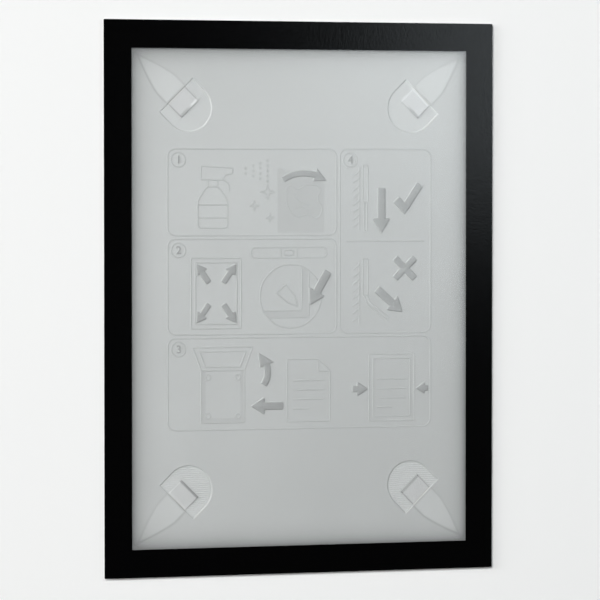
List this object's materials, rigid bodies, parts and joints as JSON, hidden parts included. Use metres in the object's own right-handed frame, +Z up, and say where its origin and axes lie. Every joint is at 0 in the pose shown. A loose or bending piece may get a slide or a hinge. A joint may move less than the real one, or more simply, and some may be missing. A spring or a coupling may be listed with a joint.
{
  "type": "self-adhesive sign frame",
  "caption": "Flat A4 sign frame for a wall: frosted back panel on stretch-release adhesive strips, with a clear cover in a black border that hinges up at the top.",
  "frame": {"origin": "middle of the frame on the plane of the wall behind it", "axes": "+X to the right seen from the front, +Y into the wall, +Z up; the front faces -Y"},
  "size_m": [0.236, 0.0023, 0.3231],
  "materials": {
    "black_foil": "satin, finely grained",
    "clear_film": "clear, anti-glare",
    "frosted_panel": "frosted, translucent",
    "magnet_foil": "matt",
    "adhesive": "soft, tacky",
    "tab_film": "smooth film",
    "hinge_tape": "clear satin tape"
  },
  "bodies": {
    "back": {"back_panel": "frosted_panel", "back_magnet_left": "magnet_foil", "back_magnet_right": "magnet_foil", "back_magnet_bottom": "magnet_foil", "back_top_strip": "magnet_foil", "hinge_tape": "hinge_tape", "adhesive_strip_top_left": "adhesive", "adhesive_strip_top_right": "adhesive", "adhesive_strip_bottom_left": "adhesive", "adhesive_strip_bottom_right": "adhesive"},
    "cover": {"front_border": "black_foil", "window_film": "clear_film", "cover_magnet_left": "magnet_foil", "cover_magnet_right": "magnet_foil", "cover_magnet_bottom": "magnet_foil", "cover_top_strip": "magnet_foil", "cover_hinge_tape": "hinge_tape"},
    "tab_top_left": {"grip_tab_top_left": "tab_film"},
    "tab_top_right": {"grip_tab_top_right": "tab_film"},
    "tab_bottom_left": {"grip_tab_bottom_left": "tab_film"},
    "tab_bottom_right": {"grip_tab_bottom_right": "tab_film"}
  },
  "joints": [
    {"name": "cover_hinge", "type": "hinge", "parent": "back", "child": "cover", "pos_m": [0, -0.0015, 0.1615], "axis": [-1, 0, 0], "range_deg": [0, 180]},
    {"name": "tab_top_left_lift", "type": "hinge", "parent": "back", "child": "tab_top_left", "pos_m": [-0.07428, -0.00055, 0.11778], "axis": [-0.7071, 0, -0.7071], "range_deg": [-3.5, 2.8], "stiffness_Nm_per_rad": 0.0001},
    {"name": "tab_top_right_lift", "type": "hinge", "parent": "back", "child": "tab_top_right", "pos_m": [0.07428, -0.00055, 0.11778], "axis": [-0.7071, 0, 0.7071], "range_deg": [-3.5, 2.8], "stiffness_Nm_per_rad": 0.0001},
    {"name": "tab_bottom_left_lift", "type": "hinge", "parent": "back", "child": "tab_bottom_left", "pos_m": [-0.07428, -0.00055, -0.11778], "axis": [0.7071, 0, -0.7071], "range_deg": [-3.5, 2.8], "stiffness_Nm_per_rad": 0.0001},
    {"name": "tab_bottom_right_lift", "type": "hinge", "parent": "back", "child": "tab_bottom_right", "pos_m": [0.07428, -0.00055, -0.11778], "axis": [0.7071, 0, 0.7071], "range_deg": [-3.5, 2.8], "stiffness_Nm_per_rad": 0.0001}
  ]
}
